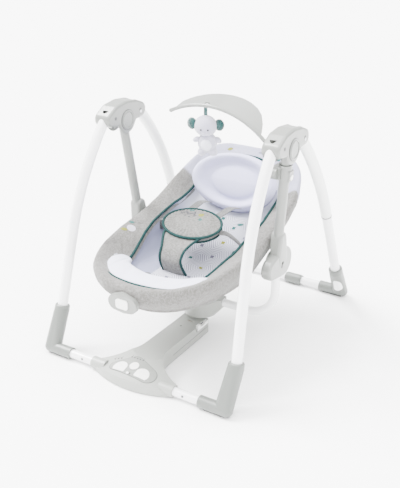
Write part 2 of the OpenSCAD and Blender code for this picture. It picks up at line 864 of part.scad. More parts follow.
module crotch_guard() {
    color("lightgray") {
        translate([0, guard_y, guard_z]) rotate([16, 0, 0]) translate([0, 0, -guard_t])
            scale([guard_w / guard_l, 1, 1]) cylinder(r = guard_l, h = guard_t, $fn = 96);
        translate([-stem_w / 2, py - 106, 228]) rotate([-16, 0, 0]) cube([stem_w, 9, 82]);
    }
}

// A flat strap from one point to another
module strap(a, b, w, t) {
    d = b - a;
    translate(a) rotate([0, acos(d[2] / norm(d)), atan2(d[1], d[0])]) translate([-t / 2, -w / 2, 0])
        cube([t, w, norm(d)]);
}

module harness_belts() {
    color("darkgray") for (s = [1, -1]) side(s) {
        strap([guard_w + 12, guard_y, guard_z - 4], [126, guard_y + 62, 262], 22, 2.5);
        strap([38, guard_y + guard_l + 2, guard_z + 2], [44, 78, 318], 22, 2.5);
    }
}

buzz_z = 229;
buzz_y = seat_mid_y - seat_half_l - 9.9;

module vibration_unit() {
    color("silver") difference() {
        hull() {
            translate([0, buzz_y, buzz_z + 1]) rotate([90, 0, 0])
                cylinder(r = 26, h = 8, center = true, $fn = 32);
            for (s = [1, -1]) translate([s * 20, buzz_y - 1, buzz_z]) rotate([90, 0, 0])
                cylinder(r = 20, h = 12, center = true, $fn = 32);
        }
        translate([0, buzz_y - 3, buzz_z]) rotate([90, 0, 0]) linear_extrude(10) button_outline(0.5);
    }
}

// Outline of the vibration button, widened by g
module button_outline(g) {
    for (x = [-10, 10], z = [-5, 5]) translate([x, z]) circle(r = 7 + g);
    square([20, 24 + 2 * g], center = true);
    square([34 + 2 * g, 10], center = true);
}

module vibration_button() {
    color("whitesmoke") translate([0, buzz_y - 5.8, buzz_z]) rotate([90, 0, 0])
        linear_extrude(3.6) button_outline(0);
}

module recline_disc(s) {
    color("gray") side(s) translate([heel_x0 - 9.5, py + heel[0], heel[1]]) rotate([0, 90, 0]) {
        cylinder(r = 24, h = 8.2);
        cylinder(r = 6, h = 30);
    }
}

front_foot(1);  // front_foot_r
front_foot(-1);  // front_foot_l
rear_foot(1);  // rear_foot_r
rear_foot(-1);  // rear_foot_l
front_leg(1);  // front_leg_r
front_leg(-1);  // front_leg_l
rear_leg_lower(1);  // rear_leg_lower_r
rear_leg_lower(-1);  // rear_leg_lower_l
rear_leg_upper(1);  // rear_leg_upper_r
rear_leg_upper(-1);  // rear_leg_upper_l
leg_rings();
front_cross(1);  // front_cross_r
front_cross(-1);  // front_cross_l
rear_cross();
rear_coupler(1);  // rear_coupler_r
rear_coupler(-1);  // rear_coupler_l
foot_pads_front();
foot_pads_rear();
hub_outer(1);  // hub_outer_r
hub_outer(-1);  // hub_outer_l
hub_inner(1);  // hub_inner_r
hub_inner(-1);  // hub_inner_l
hub_caps();
axle(1);  // axle_r
axle(-1);  // axle_l
fold_pin(1);  // fold_pin_r
fold_pin(-1);  // fold_pin_l
control_top();
control_base();
control_panel();
timer_button();
power_button();
speed_button();
mode_switch();
battery_door();
batteries();
drive_coil();
lock_lever();
arm(1);  // arm_r
arm(-1);  // arm_l
heel(1);  // heel_r
heel(-1);  // heel_l
u_tube(1);  // u_tube_r
u_tube(-1);  // u_tube_l
magnet_box();
magnet();
toybar_mount();
toybar_release();
recline_disc(1);  // recline_disc_r
recline_disc(-1);  // recline_disc_l
seat_rim();
seat_shell();
seat_pad();
headrest();
crotch_guard();
harness_belts();
vibration_unit();
vibration_button();
toy_bar();
toy();
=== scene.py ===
import bpy
import math
import numpy as np
from mathutils import Vector, Matrix, noise
from mathutils.bvhtree import BVHTree


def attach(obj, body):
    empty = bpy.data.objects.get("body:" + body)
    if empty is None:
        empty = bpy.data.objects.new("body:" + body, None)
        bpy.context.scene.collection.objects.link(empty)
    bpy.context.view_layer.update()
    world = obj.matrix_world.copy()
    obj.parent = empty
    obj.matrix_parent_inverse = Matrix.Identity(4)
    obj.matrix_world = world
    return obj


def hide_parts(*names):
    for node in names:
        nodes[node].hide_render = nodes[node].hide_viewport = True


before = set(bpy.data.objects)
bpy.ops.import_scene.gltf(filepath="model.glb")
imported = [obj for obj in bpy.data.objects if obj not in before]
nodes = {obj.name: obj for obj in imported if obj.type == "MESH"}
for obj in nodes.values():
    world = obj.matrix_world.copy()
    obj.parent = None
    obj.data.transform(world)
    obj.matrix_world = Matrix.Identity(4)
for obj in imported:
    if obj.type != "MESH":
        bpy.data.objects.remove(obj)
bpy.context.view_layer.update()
MM = 0.001

# ---------------------------------------------------------------- camera, light, floor

cam_data = bpy.data.cameras.new("camera")
cam = bpy.data.objects.new("camera", cam_data)
bpy.context.scene.collection.objects.link(cam)
cam.location = (0.98, -1.5955, 1.102)
aim = Vector((0, -0.0201, 0.2488)) - cam.location
cam.rotation_mode = "QUATERNION"
cam.rotation_quaternion = aim.to_track_quat("-Z", "Y")
cam_data.lens = 57.7
cam_data.sensor_width = 36
bpy.context.scene.camera = cam


def area(name, loc, target, size, power, color=(1, 1, 1)):
    data = bpy.data.lights.new(name, "AREA")
    data.shape = "DISK"
    data.size = size
    data.energy = power
    data.color = color
    o = bpy.data.objects.new(name, data)
    bpy.context.scene.collection.objects.link(o)
    o.location = loc
    o.rotation_mode = "QUATERNION"
    o.rotation_quaternion = (Vector(target) - Vector(loc)).to_track_quat("-Z", "Y")


def sun(name, direction, power, angle):
    data = bpy.data.lights.new(name, "SUN")
    data.energy = power
    data.angle = angle
    o = bpy.data.objects.new(name, data)
    bpy.context.scene.collection.objects.link(o)
    o.rotation_mode = "QUATERNION"
    o.rotation_quaternion = Vector(direction).to_track_quat("-Z", "Y")


sun("key", (0.62, 0.06, -0.78), 15.0, 0.5)
sun("top", (-0.1, 0.12, -1.0), 8.5, 1.3)
area("strip", (1.5, -2.0, 1.5), (0, 0, 0.3), 1.0, 14)

world = bpy.data.worlds.new("world")
bpy.context.scene.world = world
world.use_nodes = True
world.node_tree.nodes["Background"].inputs["Color"].default_value = (1, 1, 1, 1)
world.node_tree.nodes["Background"].inputs["Strength"].default_value = 2.9


# ---------------------------------------------------------------- material helpers

class N:
    """A number socket that takes arithmetic."""

    def __init__(self, tree, sock):
        self.t, self.s = tree, sock

    def op(self, kind, b=None, c=None, flip=False):
        n = self.t.nodes.new("ShaderNodeMath")
        n.operation = kind
        args = [self, b, c]
        if flip:
            args = [b, self, c]
        for i, a in enumerate(args):
            if a is None:
                continue
            if isinstance(a, N):
                self.t.links.new(a.s, n.inputs[i])
            else:
                n.inputs[i].default_value = float(a)
        return N(self.t, n.outputs[0])

    def __add__(self, b): return self.op("ADD", b)
    def __radd__(self, b): return self.op("ADD", b)
    def __sub__(self, b): return self.op("SUBTRACT", b)
    def __rsub__(self, b): return self.op("SUBTRACT", b, flip=True)
    def __mul__(self, b): return self.op("MULTIPLY", b)
    def __rmul__(self, b): return self.op("MULTIPLY", b)
    def __truediv__(self, b): return self.op("DIVIDE", b)
    def abs(self): return self.op("ABSOLUTE")
    def max(self, b): return self.op("MAXIMUM", b)
    def min(self, b): return self.op("MINIMUM", b)
    def fmod(self, b): return self.op("FLOORED_MODULO", b)
    def floor(self): return self.op("FLOOR")
    def less(self, b): return self.op("LESS_THAN", b)
    def sin(self): return self.op("SINE")
    def sqrt(self): return self.op("SQRT")

    def band(self, centre, half, soft):
        """1 within half of centre, falling to 0 over soft."""
        d = (self - centre).abs()
        return (1 - (d - half) / soft).max(0).min(1)


class Mat:
    def __init__(self, name, color, rough=0.5, metallic=0.0, coat=0.0, spec=0.5, sheen=0.0,
                 sheen_rough=0.5, sss=0.0):
        self.m = bpy.data.materials.new(name)
        self.m.use_nodes = True
        self.t = self.m.node_tree
        self.b = self.t.nodes["Principled BSDF"]
        self.base = color
        self.b.inputs["Base Color"].default_value = (*color, 1)
        self.b.inputs["Roughness"].default_value = rough
        self.b.inputs["Metallic"].default_value = metallic
        self.b.inputs["Coat Weight"].default_value = coat
        self.b.inputs["Coat Roughness"].default_value = 0.12
        self.b.inputs["Specular IOR Level"].default_value = spec
        self.b.inputs["Sheen Weight"].default_value = sheen
        self.b.inputs["Sheen Roughness"].default_value = sheen_rough
        self.color_sock = None
        self.bumps = None
        geo = self.t.nodes.new("ShaderNodeNewGeometry")
        tex = self.t.nodes.new("ShaderNodeTexCoord")
        self.pos = tex.outputs["Object"]
        self.geo = geo

    def xyz(self):
        n = self.t.nodes.new("ShaderNodeSeparateXYZ")
        self.t.links.new(self.pos, n.inputs[0])
        return [N(self.t, n.outputs[i]) for i in range(3)]

    def noise(self, scale, detail=2.0, rough=0.5, dist=0.0, stretch=None):
        n = self.t.nodes.new("ShaderNodeTexNoise")
        n.inputs["Scale"].default_value = scale
        n.inputs["Detail"].default_value = detail
        n.inputs["Roughness"].default_value = rough
        n.inputs["Distortion"].default_value = dist
        src = self.pos
        if stretch:
            mp = self.t.nodes.new("ShaderNodeMapping")
            mp.inputs["Scale"].default_value = stretch
            self.t.links.new(self.pos, mp.inputs[0])
            src = mp.outputs[0]
        self.t.links.new(src, n.inputs["Vector"])
        return N(self.t, n.outputs["Fac"])

    def mix(self, fac, b):
        """Mixes colour b (a tuple or a socket) over the current colour."""
        n = self.t.nodes.new("ShaderNodeMix")
        n.data_type = "RGBA"
        if isinstance(fac, N):
            self.t.links.new(fac.s, n.inputs[0])
        else:
            n.inputs[0].default_value = fac
        a_in = [i for i in n.inputs if i.name == "A" and i.type == "RGBA"][0]
        b_in = [i for i in n.inputs if i.name == "B" and i.type == "RGBA"][0]
        out = [o for o in n.outputs if o.type == "RGBA"][0]
        if self.color_sock is None:
            a_in.default_value = (*self.base, 1)
        else:
            self.t.links.new(self.color_sock, a_in)
        if isinstance(b, tuple):
            b_in.default_value = (*b, 1)
        else:
            self.t.links.new(b, b_in)
        self.color_sock = out
        return self

    def attribute(self, name):
        n = self.t.nodes.new("ShaderNodeAttribute")
        n.attribute_name = name
        self.base_attr = n
        self.color_sock = n.outputs["Color"]
        return n

    def rough_from(self, value):
        self.t.links.new(value.s, self.b.inputs["Roughness"])
        return self

    def bump(self, height, strength, distance=0.001):
        n = self.t.nodes.new("ShaderNodeBump")
        n.inputs["Strength"].default_value = strength
        n.inputs["Distance"].default_value = distance
        self.t.links.new(height.s, n.inputs["Height"])
        if self.bumps is not None:
            self.t.links.new(self.bumps, n.inputs["Normal"])
        self.bumps = n.outputs[0]
        return self

    def done(self):
        if self.color_sock is not None:
            self.t.links.new(self.color_sock, self.b.inputs["Base Color"])
        if self.bumps is not None:
            self.t.links.new(self.bumps, self.b.inputs["Normal"])
        return self.m


def plastic(name, color, rough, coat=0.0, grain=0.15, vary=0.04):
    m = Mat(name, color, rough=rough, coat=coat)
    dark = tuple(c * (1 - vary) for c in color)
    m.mix(m.noise(7, 3) * 0.8, dark)
    m.rough_from(m.noise(24, 2) * 0.10 + (rough - 0.05))
    m.bump(m.noise(900, 2), grain, 0.0003)
    return m.done()


def fabric(name, color, melange=0.10, scale=420, attr=False, bump=0.35, sheen=0.15, soft=0.5,
           flecks=(0.30, 0.30, 0.30), folds=0.0):
    m = Mat(name, color, rough=0.92, spec=0.2, sheen=sheen, sheen_rough=0.45)
    if attr:
        m.attribute("tint")
    streak = m.noise(scale, 3, 0.6, stretch=(0.35, 1.0, 1.0))
    streak2 = m.noise(scale * 0.9, 3, 0.6, stretch=(1.0, 0.35, 0.35))
    f = ((streak + streak2) - 0.88).max(0) * 3.4
    m.mix(f.min(1) * melange, flecks)
    m.mix(m.noise(16, 2) * 0.10 * soft, (0.2, 0.2, 0.22))
    if folds:
        m.bump(m.noise(26, 3, 0.55, 0.6, stretch=(1, 1, 0.45)), folds, 0.012)
    x, y, z = m.xyz()
    weave = (x * 3600).sin() * (y * 3600).sin() + (z * 3600).sin() * 0.6
    m.bump(weave * 0.5 + m.noise(700, 2) * 0.8, bump, 0.0006)
    return m.done()


WHITE = (0.86, 0.86, 0.87)
GREY = (0.17, 0.178, 0.166)
FAB = (0.105, 0.101, 0.093)
LAV = (0.30, 0.30, 0.41)
TEAL = (0.0015, 0.022, 0.021)
LIME = (0.15, 0.155, 0.01)

m_paint = plastic("white_paint", WHITE, 0.22, coat=0.6, grain=0.03, vary=0.015)
m_moulded = plastic("white_moulded", (0.83, 0.84, 0.83), 0.32, coat=0.25, grain=0.12, vary=0.02)
m_shell = plastic("grey_shell", GREY, 0.34, coat=0.35, grain=0.10)
m_disc = plastic("grey_disc", (0.15, 0.16, 0.15), 0.24, coat=0.45, grain=0.08)
m_foot = plastic("foot_plastic", (0.12, 0.13, 0.12), 0.42, coat=0.1, grain=0.3)
m_base = plastic("base_plastic", (0.28, 0.29, 0.27), 0.40, coat=0.12, grain=0.3)
m_panel = plastic("panel_plastic", (0.20, 0.21, 0.195), 0.38, coat=0.1, grain=0.2)
m_button = plastic("button_white", (0.84, 0.84, 0.82), 0.28, coat=0.4, grain=0.06)
m_dark = plastic("dark_plastic", (0.012, 0.012, 0.013), 0.45, grain=0.2)
m_rubber = plastic("grey_rubber", (0.05, 0.05, 0.05), 0.75, grain=0.6)
m_red = plastic("red_dot", (0.35, 0.004, 0.012), 0.35)
m_steel = Mat("steel", (0.55, 0.55, 0.57), rough=0.35, metallic=1.0)
m_steel = m_steel.bump(m_steel.noise(300, 3, stretch=(1, 1, 9)), 0.1, 0.0003).done()
m_copper = Mat("copper_wire", (0.6, 0.3, 0.15), rough=0.4, metallic=1.0)
m_copper = m_copper.bump(m_copper.noise(500, 1), 0.3, 0.0003).done()
m_cell = plastic("cell_sleeve", (0.08, 0.12, 0.2), 0.35)
# Dark grey for printed marks, LEDs and grooves; on the screw holes and the spring-button slits it is painted shade of
# these recesses
m_print_and_recess_shade = plastic("print_and_recess_shade_grey", (0.06, 0.06, 0.06), 0.5)

m_cover = fabric("cover_fabric", FAB, melange=0.30, attr=True, folds=0.55)
m_plain = fabric("grey_fabric", (0.105, 0.103, 0.095), melange=0.35, folds=0.3)
m_white_fab = fabric("white_fabric", (0.62, 0.63, 0.75), melange=0.06, folds=0.3)
m_pillow = fabric("pillow_fabric", (0.46, 0.46, 0.66), melange=0.04, sheen=0.3)
m_teal = fabric("teal_piping", TEAL, melange=0.10, bump=0.6, sheen=0.0, flecks=(0.02, 0.10, 0.09))
m_lav_pipe = fabric("lavender_piping", (0.26, 0.26, 0.38), melange=0.1)
m_web = fabric("strap_webbing", (0.07, 0.07, 0.068), melange=0.4, scale=700, bump=0.8)
m_plush = fabric("plush_fabric", (0.44, 0.43, 0.54), melange=0.10, scale=260, bump=0.9, sheen=0.9)
m_plush_white = fabric("plush_white", (0.68, 0.68, 0.78), melange=0.05, scale=260, bump=0.9, sheen=0.9)
m_plush_teal = fabric("plush_teal", (0.002, 0.035, 0.034), melange=0.12, scale=260, bump=0.9, sheen=0.5,
                      flecks=(0.1, 0.35, 0.33))
m_lime = fabric("lime_print", LIME, melange=0.1)
m_lilac = fabric("lilac_print", (0.42, 0.40, 0.47), melange=0.1)
m_teal_print = fabric("teal_print", (0.008, 0.08, 0.075), melange=0.1)
m_leaf_grey = fabric("grey_print", (0.17, 0.17, 0.23), melange=0.1)
m_motif = fabric("motif_thread", (0.03, 0.03, 0.035), melange=0.3)


def hexd(x, y):
    return y.abs().max((x * 0.866).abs() + (y * 0.5).abs())


def pad_material():
    m = Mat("pad_fabric", (0.60, 0.60, 0.68), rough=0.92, spec=0.2, sheen=0.15, sheen_rough=0.45)
    m.attribute("tint")
    att = m.t.nodes.new("ShaderNodeAttribute")
    att.attribute_name = "printed"
    on = N(m.t, att.outputs["Fac"])
    x, y, z = m.xyz()
    cw, ch = 0.048, 0.0554
    x = x - 0.002
    y = y + 0.014
    ax = (x + cw).fmod(2 * cw) - cw
    ay = (y + ch / 2).fmod(ch) - ch / 2
    bx = x.fmod(2 * cw) - cw
    by = y.fmod(ch) - ch / 2
    da, db = hexd(ax, ay), hexd(bx, by)
    d = da.min(db)
    lines = d.band(0.0250, 0.0008, 0.0005)
    for radius, width in ((0.0195, 0.0008), (0.0140, 0.0008), (0.0088, 0.0007)):
        lines = lines.max(d.band(radius, width, 0.0005))
    first = da.less(db)
    sq = (ax.abs().max(ay.abs()).less(0.0052) * first).max(bx.abs().max(by.abs()).less(0.0052) * (1
            - first))
    m.mix(lines * on * 0.75, (0.07, 0.068, 0.115))
    ia = ((x + cw) / (2 * cw)).floor() * 1.7 + ((y + ch / 2) / ch).floor() * 1.3
    ib = (x / (2 * cw)).floor() * 1.3 + (y / ch).floor() * 1.9 + 0.9
    ident = (ia * first + ib * (1 - first)).fmod(4.0)
    m.mix(sq * on * 0.9, (0.05, 0.045, 0.08))
    m.mix(sq * on * ident.band(1.0, 0.6, 0.01), LIME)
    m.mix(sq * on * ident.band(2.3, 0.6, 0.01), (0.004, 0.06, 0.055))
    m.mix(m.noise(16, 2) * 0.05, (0.2, 0.2, 0.25))
    weave = (x * 3600).sin() * (y * 3600).sin() + (z * 3600).sin() * 0.6
    quilt = m.noise(36, 2)
    m.bump(weave * 0.5 + m.noise(700, 2) * 0.8, 0.3, 0.0006)
    m.bump(quilt, 0.25, 0.004)
    return m.done()


m_pad = pad_material()


# ---------------------------------------------------------------- mesh helpers

def new_mesh(name, verts, faces, mat, body, smooth=True):
    me = bpy.data.meshes.new(name)
    me.from_pydata([tuple(v) for v in np.asarray(verts, float) * MM], [], faces)
    me.validate()
    me.update()
    if smooth:
        me.polygons.foreach_set("use_smooth", [True] * len(me.polygons))
    me.materials.append(mat)
    o = bpy.data.objects.new(name, me)
    bpy.context.scene.collection.objects.link(o)
    if body:
        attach(o, body)
    return o


def grid_faces(m, n, closed):
    f = []
    for i in range(m - 1):
        for j in range(n if closed else n - 1):
            k = (j + 1) % n
            f.append((i * n + j, i * n + k, (i + 1) * n + k, (i + 1) * n + j))
    return f


def catmull(rows, t):
    """Rows is (k, n, 3); t in 0..k-1."""
    k = len(rows)
    i = min(int(t), k - 2)
    f = t - i
    p0, p1, p2, p3 = rows[max(i - 1, 0)], rows[i], rows[i + 1], rows[min(i + 2, k - 1)]
    return 0.5 * (2 * p1 + (p2 - p0) * f + (2 * p0 - 5 * p1 + 4 * p2 - p3) * f * f
                  + (3 * p1 - p0 - 3 * p2 + p3) * f ** 3)


def loft(name, loops, steps, mat, body, cap_start=False, cap_end=False, move=None):
    rows = []
    ts = []
    for i in range(len(loops) - 1):
        for s in range(steps[i]):
            ts.append(i + s / steps[i])
    ts.append(len(loops) - 1.0)
    L = np.array(loops)
    rows = np.array([catmull(L, t) for t in ts])
    if move is not None:
        rows = move(rows, ts)
    m, n = rows.shape[:2]
    verts = rows.reshape(-1, 3)
    faces = grid_faces(m, n, True)
    extra = []
    if cap_start:
        c = len(verts) + len(extra)
        extra.append(rows[0].mean(0))
        faces += [(c, (j + 1) % n, j) for j in range(n)]
    if cap_end:
        c = len(verts) + len(extra)
        extra.append(rows[-1].mean(0))
        b = (m - 1) * n
        faces += [(c, b + j, b + (j + 1) % n) for j in range(n)]
    if extra:
        verts = np.vstack([verts, extra])
    return new_mesh(name, verts, faces, mat, body), rows, ts


def tube(name, pts, r, mat, body, closed=False, sides=10, flat=1.0, up=(0, 0, 1)):
    """A swept tube along points in mm."""
    p = np.array(pts, float)
    n = len(p)
    if closed:
        t = np.roll(p, -1, 0) - np.roll(p, 1, 0)
    else:
        t = np.gradient(p, axis=0)
    t /= np.linalg.norm(t, axis=1)[:, None] + 1e-12
    u = np.array(up, float)
    s = np.cross(t, u)
    s /= np.linalg.norm(s, axis=1)[:, None] + 1e-12
    w = np.cross(s, t)
    rr = np.broadcast_to(np.asarray(r, float), (n,))
    v = []
    for i in range(n):
        for k in range(sides):
            a = 2 * math.pi * k / sides
            v.append(p[i] + rr[i] * (math.cos(a) * s[i] + flat * math.sin(a) * w[i]))
    f = []
    for i in range(n if closed else n - 1):
        for k in range(sides):
            j = (k + 1) % sides
            i2 = (i + 1) % n
            f.append((i * sides + k, i * sides + j, i2 * sides + j, i2 * sides + k))
    if not closed:
        f.append(tuple(range(sides - 1, -1, -1)))
        f.append(tuple((n - 1) * sides + k for k in range(sides)))
    return new_mesh(name, v, f, mat, body)


def smooth_path(pts, count, closed=False):
    p = np.array(pts, float)
    if closed:
        p = np.vstack([p[-1], p, p[0], p[1]])
        k = len(p) - 3
        out = []
        for t in np.linspace(0, k, count, endpoint=False):
            i = int(t)
            f = t - i
            a, b, c, d = p[i], p[i + 1], p[i + 2], p[i + 3]
            out.append(0.5 * (2 * b + (c - a) * f + (2 * a - 5 * b + 4 * c - d) * f * f
                              + (3 * b - a - 3 * c + d) * f ** 3))
        return np.array(out)
    return np.array([catmull(p, t) for t in np.linspace(0, len(p) - 1, count)])


def nz(v, s, seed=0.0):
    return noise.noise(Vector((v[0] * s + seed, v[1] * s - seed, v[2] * s + 2 * seed)))


def set_tint(o, fn, name="tint"):
    me = o.data
    att = me.attributes.new(name, "FLOAT_COLOR", "POINT")
    co = np.zeros(len(me.vertices) * 3)
    me.vertices.foreach_get("co", co)
    co = co.reshape(-1, 3) / MM
    col = fn(co)
    att.data.foreach_set("color", np.hstack([col, np.ones((len(co), 1))]).astype(np.float32).ravel())


# ---------------------------------------------------------------- seat geometry (mm)

PY = -28.5
MY = PY - 5
HW, HL = 186.0, 308.0
NA = 288
ANG = np.radians(np.arange(NA) * 360.0 / NA)


def se(v, p):
    return np.sign(v) * np.abs(v) ** (2 / p)


def rim_z(y):
    return 262 + 0.095 * (y + 310) + 0.00095 * np.maximum(0, y + 25) ** 2


def foot_z(y):
    return 196 + 0.03 * (y + 310) + 0.3 * np.maximum(0, y + 35)


def ring(hw, front, rear, pf, pr, mid=MY):
    """A flat ring's x and y: half width, reach to the front and to the rear of mid."""
    s, c = np.sin(ANG), np.cos(ANG)
    p = np.where(s < 0, pf, pr)
    reach = np.where(s < 0, front, rear)
    return hw * se(c, p), mid + reach * se(s, p)


def rim_line(y):
    return rim_z(y - MY)


x, y = ring(HW, HL, HL, 2.6, 4.2)
RIM = np.stack([x, y, rim_line(y)], -1)
x, y = ring(160, 262, 262, 2.6, 4.2, MY - 8)
x = x * (1 + 0.075 * np.sin(ANG))
FOOT = np.stack([x, y, foot_z(y - MY)], -1)
BASE_MID = np.array([0, MY - 20, foot_z(np.array(-20.0)) + 1])


# The teal seam on the right side, from the front middle round to the rear middle
SEAM_HALF = np.array([
    [0, -286, 249], [50, -276, 248], [86, -245, 246], [104, -205, 244], [112, -165, 246], [126, -102, 266],
    [131, -82, 272], [134, -57, 280], [136, -31, 289], [137, 20, 298], [136, 64, 306], [132, 94, 311],
    [129, 133, 321], [126, 180, 341], [112, 214, 370], [80, 232, 396], [40, 239, 410], [0, 240, 414.0]])


def around(half):
    """A closed loop matched by angle to the rim, from the right half's points."""
    full = np.vstack([half, (half * [-1, 1, 1])[-2:0:-1]])
    dense = smooth_path(full, 720, closed=True)
    ang = np.arctan2(dense[:, 1] - MY, dense[:, 0] * 1.45)
    ref = np.arctan2(RIM[:, 1] - MY, RIM[:, 0] * 1.25)
    o = np.argsort(ang)
    return np.stack([np.interp(ref, ang[o], dense[o, k], period=2 * math.pi) for k in range(3)], -1)


def mixl(a, b, t):
    return a * (1 - t) + b * t


def outward(loop, d):
    """Moves a loop outwards in plan by d."""
    t = np.roll(loop, -1, 0) - np.roll(loop, 1, 0)
    nrm = np.stack([t[:, 1], -t[:, 0], np.zeros(len(t))], -1)
    nrm /= np.linalg.norm(nrm, axis=1)[:, None]
    return loop + nrm * d


def lift(loop, dz):
    return loop + np.array([0, 0, dz])


SEAM = around(SEAM_HALF)
WALL = mixl(RIM, FOOT, 0.5) + (RIM - BASE_MID) * 0.07
WALL_LOW = mixl(RIM, FOOT, 0.86) + (RIM - BASE_MID) * 0.03
COVER_LOOPS = [
    mixl(FOOT, np.broadcast_to(BASE_MID, FOOT.shape), 0.96),
    mixl(FOOT, np.broadcast_to(BASE_MID, FOOT.shape), 0.4),
    FOOT,
    WALL_LOW,
    WALL,
    lift(outward(RIM, 5.5), -14),
    lift(outward(RIM, 6.0), 0),
    lift(outward(RIM, -3), 7.5),
    lift(mixl(RIM, SEAM, 0.45), 6),
    lift(mixl(RIM, SEAM, 0.85), 1.5),
    SEAM,
    lift(outward(SEAM, -5), -9),
]


def cover_wrinkles(rows, ts):
    out = rows.copy()
    for i, t in enumerate(ts):
        if t < 0.5:
            continue
        for j in range(rows.shape[1]):
            v = rows[i, j]
            a = ANG[j]
            k = 0.0
            if 2.0 < t < 6.2:
                w = math.sin((t - 2.0) / 4.2 * math.pi)
                k = 2.6 * w * nz((v[0], v[1], v[2] * 0.45), 0.016, 3.1)
                k += 1.3 * w * nz((v[0] + v[1] * 0.6, v[1], v[2] * 0.2), 0.045, 8.0)
            elif t >= 6.2:
                w = 1.0 if t < 9 else max(0.0, 10 - t)
                k = 1.5 * w * nz(v, 0.022, 1.7) + 0.7 * w * nz((v[0], v[1], v[2]), 0.06, 5.0)
            c = np.array([v[0], v[1] - MY, 0])
            c = c / (np.linalg.norm(c) + 1e-9)
            if t < 6.2:
                out[i, j] = v + c * k
            else:
                out[i, j] = v + np.array([0, 0, k])
    return out


cover, cover_rows, cover_ts = loft("seat_cover", COVER_LOOPS, [3, 6, 5, 7, 8, 5, 5, 6, 8, 5, 3], m_cover,
                                   "seat", cap_start=True, move=cover_wrinkles)
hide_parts("seat_rim", "seat_shell")


def cover_tint(co):
    col = np.tile(np.array(FAB), (len(co), 1))
    back = np.clip((co[:, 1] - 172) / 3.0, 0, 1)
    up = np.clip((co[:, 2] - (300 + (co[:, 1] - 172) * 0.42)) / 4.0, 0, 1)
    k = (back * up)[:, None]
    return col * (1 - k) + np.array(LAV) * k


set_tint(cover, cover_tint)


# ---- Seat pad

def floor_z(y):
    return foot_z(y - MY) + 21


x, y = ring(97, 196, 176, 3.0, 2.6, MY)
FLOOR_EDGE = np.stack([x, y, floor_z(y) + 3], -1)
x, y = ring(55, 130, 110, 2.4, 2.2, MY)
FLOOR_MID = np.stack([x, y, floor_z(y)], -1)
PAD_MID = mixl(SEAM, FLOOR_EDGE, 0.5) + np.stack([0.05 * SEAM[:, 0], 0.05 * (SEAM[:, 1] - MY),
        np.full(NA, -9.0)], -1)
PAD_LOOPS = [
    lift(outward(SEAM, 4), -5),
    lift(outward(SEAM, -1), 0.5),
    lift(mixl(SEAM, PAD_MID, 0.18), 0.5),
    PAD_MID,
    FLOOR_EDGE,
    FLOOR_MID,
    FLOOR_MID * 0.03 + np.array([0, MY - 10, floor_z(MY - 10)]) * 0.97,
]


def pad_wrinkles(rows, ts):
    out = rows.copy()
    for i, t in enumerate(ts):
        for j in range(rows.shape[1]):
            v = rows[i, j]
            w = min(1, max(0, t - 1)) * 1.0
            out[i, j] = v + np.array([0, 0, w * (2.4 * nz(v, 0.02, 4.4) + 0.8 * nz(v, 0.06, 9.4))])
    return out


pad, pad_rows, pad_ts = loft("seat_pad_cover", PAD_LOOPS, [2, 3, 8, 10, 10, 8], m_pad, "seat",
                             cap_end=True, move=pad_wrinkles)
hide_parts("seat_pad")


def inside(co, loop, grow=1.0):
    """1 inside a loop in plan, roughly, by its superellipse radius."""
    c = np.array([0, loop[:, 1].mean()])
    la = np.arctan2(loop[:, 1] - c[1], loop[:, 0])
    lr = np.hypot(loop[:, 0], loop[:, 1] - c[1])
    o = np.argsort(la)
    ca = np.arctan2(co[:, 1] - c[1], co[:, 0])
    cr = np.hypot(co[:, 0], co[:, 1] - c[1])
    edge = np.interp(ca, la[o], lr[o], period=2 * math.pi) * grow
    return edge - cr


def pad_zone(co):
    k = np.clip((inside(co, FLOOR_EDGE, 1.06) + 2) / 4, 0, 1) * np.clip((112 - co[:, 1]) / 4, 0, 1)
    return np.where(co[:, 0] < -40, 0, k)


def pad_tint(co):
    white = np.array((0.50, 0.51, 0.58))
    lav = np.array((0.19, 0.20, 0.29))
    back = np.clip((co[:, 1] - 60) / 60, 0, 1) * 0.7
    k = np.maximum(pad_zone(co), back)
    return lav * (1 - k[:, None]) + white * k[:, None]


def pad_print(co):
    return np.repeat(pad_zone(co)[:, None], 3, 1)


set_tint(pad, pad_tint)
set_tint(pad, pad_print, "printed")

piping = tube("seat_piping", lift(SEAM, 2.0), 3.6, m_teal, "seat", closed=True)

# ---- Quilted lip over the front edge

LIP_OUT = smooth_path([[-143, -205, 250], [-140, -240, 256], [-126, -262, 258], [-96, -288, 258],
                       [-55, -304, 258],
                       [0, -310, 258], [55, -304, 258], [96, -288, 258], [126, -262, 258], [140, -240, 256],
                       [143, -205, 250]], 90)
LIP_IN = smooth_path([[-143, -203, 250], [-134, -184, 249], [-116, -176, 246], [-97, -186, 245],
                      [-78, -212, 246],
                      [0, -238, 250], [78, -212, 246], [97, -186, 245], [116, -176, 246], [134, -184, 249],
                      [143, -203, 250]], 90)


def lip_rows():
    rows = []
    for s in np.linspace(0, 1, 22):
        row = mixl(LIP_OUT, LIP_IN, s)
        width = np.linalg.norm(LIP_IN - LIP_OUT, axis=1)
        puff = np.minimum(11, width * 0.22) * (4 * s * (1 - s)) ** 0.55
        for j in range(len(row)):
            q = 1.0 - 0.3 * max(0.0, math.cos(j / 89 * math.pi * 14)) ** 8 * (1 if 0.1 < s < 0.9 and 12 < j < 77 else 0)
            row[j, 2] += puff[j] * q + 0.8 * nz(row[j], 0.03, 2.0)
        rows.append(row)
    for s in np.linspace(1, 0, 6)[1:-1]:
        rows.append(mixl(LIP_OUT, LIP_IN, s) - np.array([0, 0, 5.0]))
    return np.array(rows)


